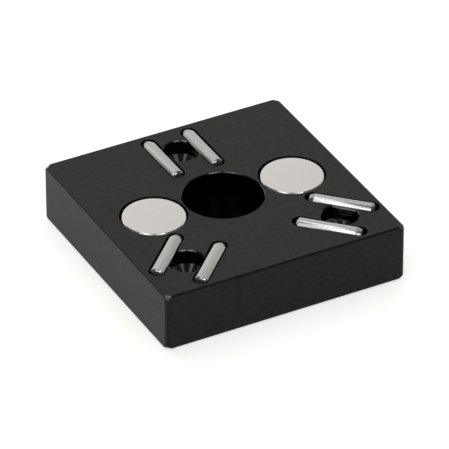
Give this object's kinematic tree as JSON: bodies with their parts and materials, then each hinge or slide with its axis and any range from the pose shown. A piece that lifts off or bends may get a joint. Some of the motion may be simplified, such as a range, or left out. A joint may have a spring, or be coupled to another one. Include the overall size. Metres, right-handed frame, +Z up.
{
  "type": "kinematic base",
  "caption": "Square anodised kinematic base plate with ball-locating vee grooves made of paired steel pins, inset disc magnets and a counterbored screw hole.",
  "frame": {"origin": "middle of the plate's underside, on the screw hole's axis", "axes": "+Z up out of the top face, +Y along the back groove, +X to the right towards magnet_right"},
  "size_m": [0.0254, 0.0254, 0.0063],
  "materials": {
    "black_anodised_aluminium": "bead-blasted matte black anodised",
    "nickel_plated_magnet": "satin nickel plate on sintered magnet",
    "ground_pin_steel": "ground hardened steel"
  },
  "bodies": {
    "root": {"base_plate": "black_anodised_aluminium", "magnet_left": "nickel_plated_magnet", "magnet_right": "nickel_plated_magnet", "back_groove_pin_left": "ground_pin_steel", "back_groove_pin_right": "ground_pin_steel", "front_left_groove_pin_left": "ground_pin_steel", "front_left_groove_pin_right": "ground_pin_steel", "front_right_groove_pin_left": "ground_pin_steel", "front_right_groove_pin_right": "ground_pin_steel"}
  },
  "joints": []
}
